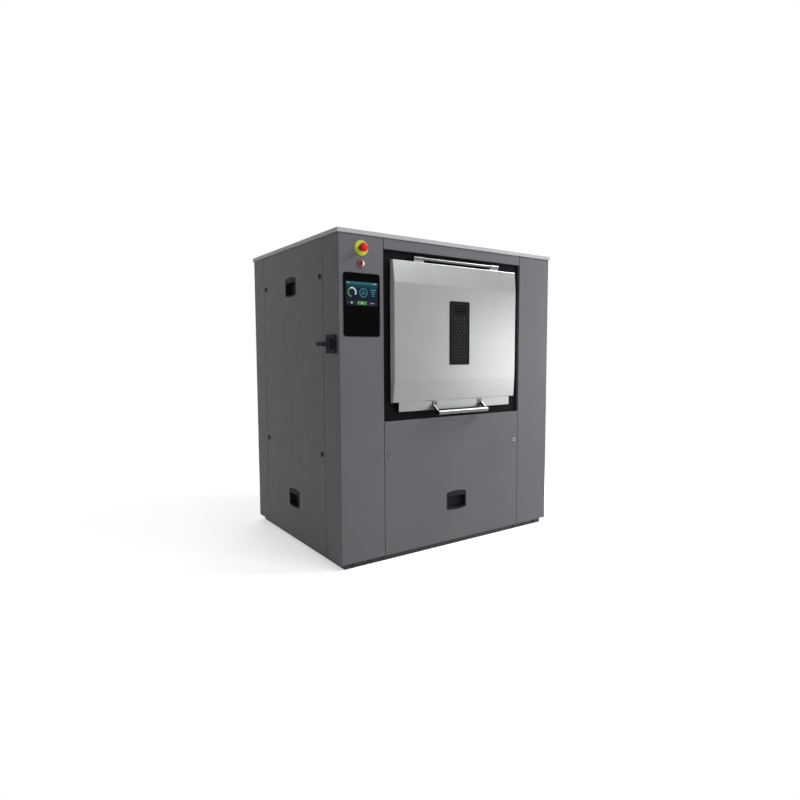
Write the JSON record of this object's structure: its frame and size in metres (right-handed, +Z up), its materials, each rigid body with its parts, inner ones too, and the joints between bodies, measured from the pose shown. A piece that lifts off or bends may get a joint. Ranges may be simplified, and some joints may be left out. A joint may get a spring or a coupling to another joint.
{
  "type": "barrier washer extractor",
  "caption": "Pass-through industrial washer: grey cabinet, top-hinged door at each front, sprung tub with a turning drum.",
  "frame": {"origin": "on the floor, under the middle of the model's overall box", "axes": "+Z up, -Y towards the person at the loading front, +X to that person's right"},
  "size_m": [1.566, 1.269, 1.65],
  "materials": {
    "cabinet_grey": "satin textured grey enamel",
    "lid_grey": "satin light grey enamel",
    "black_enamel": "satin black enamel",
    "frame_steel": "grey primer",
    "stainless": "brushed",
    "polished": "polished stainless steel",
    "black_plastic": "fine grained",
    "screw_steel": "blackened",
    "yellow": "semi-gloss",
    "red": "semi-gloss",
    "selector_red": "semi-gloss",
    "white_plastic": "semi-gloss",
    "black_glass": "glossy black glass",
    "screen": "lit screen behind glass",
    "seal_rubber": "matte",
    "cast": "machined and painted",
    "motor_paint": "satin",
    "brass": "satin",
    "box_grey": "satin"
  },
  "bodies": {
    "cabinet": {"base_frame": "black_enamel", "upper_frame": "frame_steel", "lid": "lid_grey", "corner_panel_front_left": "cabinet_grey", "corner_panel_front_right": "cabinet_grey", "corner_panel_rear_left": "cabinet_grey", "corner_panel_rear_right": "cabinet_grey", "header_strips": "cabinet_grey", "door_surrounds": "black_enamel", "front_panel": "cabinet_grey", "rear_panel": "cabinet_grey", "side_panel_left": "cabinet_grey", "side_panel_right": "cabinet_grey", "handle_cups": "black_plastic", "cabinet_screws": "screw_steel", "stop_plates": "yellow", "selector_ring": "selector_red", "control_glass": "black_glass", "touch_screen": "screen", "main_switch_plate": "black_plastic", "door_seals": "seal_rubber", "hinge_bars": "polished", "door_locks": "black_plastic", "drain_valve": "box_grey", "water_inlets": "brass", "electrical_box": "box_grey", "cable_gland": "black_plastic"},
    "tub": {"tub_shell": "stainless", "tub_bellows": "seal_rubber", "bearing_units": "cast", "drive_belt": "seal_rubber", "motor": "motor_paint", "air_springs": "seal_rubber", "dampers": "frame_steel"},
    "drum": {"drum_shell": "stainless", "drum_ends": "stainless", "drum_shafts": "stainless", "drum_lifters": "stainless", "drum_pulley": "cast"},
    "upper_flap": {"drum_flap_upper": "stainless"},
    "lower_flap": {"drum_flap_lower": "stainless"},
    "motor_rotor": {"motor_pulley": "cast"},
    "front_door": {"door_skin_front": "stainless", "door_body_front": "stainless", "door_grip_front": "black_plastic", "door_handle_front": "polished"},
    "rear_door": {"door_skin_rear": "stainless", "door_body_rear": "stainless", "door_grip_rear": "black_plastic", "door_handle_rear": "polished"},
    "front_stop": {"stop_button_front": "red"},
    "rear_stop": {"stop_button_rear": "red"},
    "selector": {"selector_knob": "white_plastic"},
    "main_switch": {"main_switch_handle": "black_plastic"},
    "lock_front_left": {"lock_front_left": "polished"},
    "lock_front_right": {"lock_front_right": "polished"},
    "lock_side_1": {"lock_side_1": "black_plastic"},
    "lock_side_2": {"lock_side_2": "black_plastic"},
    "lock_side_3": {"lock_side_3": "black_plastic"},
    "lock_side_4": {"lock_side_4": "black_plastic"}
  },
  "joints": [
    {"name": "tub_bounce", "type": "slide", "parent": "cabinet", "child": "tub", "axis": [0, 0, 1], "range_m": [-0.015, 0.015], "stiffness_N_per_m": 400000, "springref_m": 0.01006, "deforming": ["air_springs", "dampers", "tub_bellows"]},
    {"name": "drum_spin", "type": "hinge", "parent": "tub", "child": "drum", "pos_m": [0, 0, 1.11], "axis": [1, 0, 0], "continuous": true},
    {"name": "motor_spin", "type": "hinge", "parent": "tub", "child": "motor_rotor", "pos_m": [0.57, 0, 0.52], "axis": [1, 0, 0], "continuous": true},
    {"name": "upper_flap_swing", "type": "hinge", "parent": "drum", "child": "upper_flap", "pos_m": [0, -0.34617, 1.32213], "axis": [1, 0, 0], "range_deg": [0, 95]},
    {"name": "lower_flap_swing", "type": "hinge", "parent": "drum", "child": "lower_flap", "pos_m": [0, -0.34617, 0.89787], "axis": [-1, 0, 0], "range_deg": [0, 95]},
    {"name": "front_door_hinge", "type": "hinge", "parent": "cabinet", "child": "front_door", "pos_m": [0, -0.568, 1.549], "axis": [-1, 0, 0], "range_deg": [0, 100]},
    {"name": "rear_door_hinge", "type": "hinge", "parent": "cabinet", "child": "rear_door", "pos_m": [0, 0.568, 1.549], "axis": [1, 0, 0], "range_deg": [0, 100]},
    {"name": "front_stop_press", "type": "slide", "parent": "cabinet", "child": "front_stop", "axis": [0, 1, 0], "range_m": [0, 0.005], "stiffness_N_per_m": 2000},
    {"name": "rear_stop_press", "type": "slide", "parent": "cabinet", "child": "rear_stop", "axis": [0, -1, 0], "range_m": [0, 0.005], "stiffness_N_per_m": 2000},
    {"name": "selector_turn", "type": "hinge", "parent": "cabinet", "child": "selector", "pos_m": [-0.59, -0.57, 1.494], "axis": [0, 1, 0], "range_deg": [0, 90]},
    {"name": "main_switch_turn", "type": "hinge", "parent": "cabinet", "child": "main_switch", "pos_m": [-0.74, -0.493, 1.109], "axis": [1, 0, 0], "range_deg": [0, 90]},
    {"name": "lock_front_left_turn", "type": "hinge", "parent": "cabinet", "child": "lock_front_left", "pos_m": [-0.4345, -0.56, 0.553], "axis": [0, 1, 0], "range_deg": [0, 90]},
    {"name": "lock_front_right_turn", "type": "hinge", "parent": "cabinet", "child": "lock_front_right", "pos_m": [0.4345, -0.56, 0.553], "axis": [0, -1, 0], "range_deg": [0, 90]},
    {"name": "lock_side_1_turn", "type": "hinge", "parent": "cabinet", "child": "lock_side_1", "pos_m": [-0.71, -0.3665, 0.553], "axis": [-1, 0, 0], "range_deg": [0, 90]},
    {"name": "lock_side_2_turn", "type": "hinge", "parent": "cabinet", "child": "lock_side_2", "pos_m": [-0.71, 0.3665, 0.553], "axis": [1, 0, 0], "range_deg": [0, 90]},
    {"name": "lock_side_3_turn", "type": "hinge", "parent": "cabinet", "child": "lock_side_3", "pos_m": [-0.71, -0.3665, 1.443], "axis": [-1, 0, 0], "range_deg": [0, 90]},
    {"name": "lock_side_4_turn", "type": "hinge", "parent": "cabinet", "child": "lock_side_4", "pos_m": [-0.71, 0.3665, 1.443], "axis": [1, 0, 0], "range_deg": [0, 90]}
  ],
  "couplings": [
    {"joint": "motor_spin", "follows": "drum_spin", "ratio": 5}
  ]
}
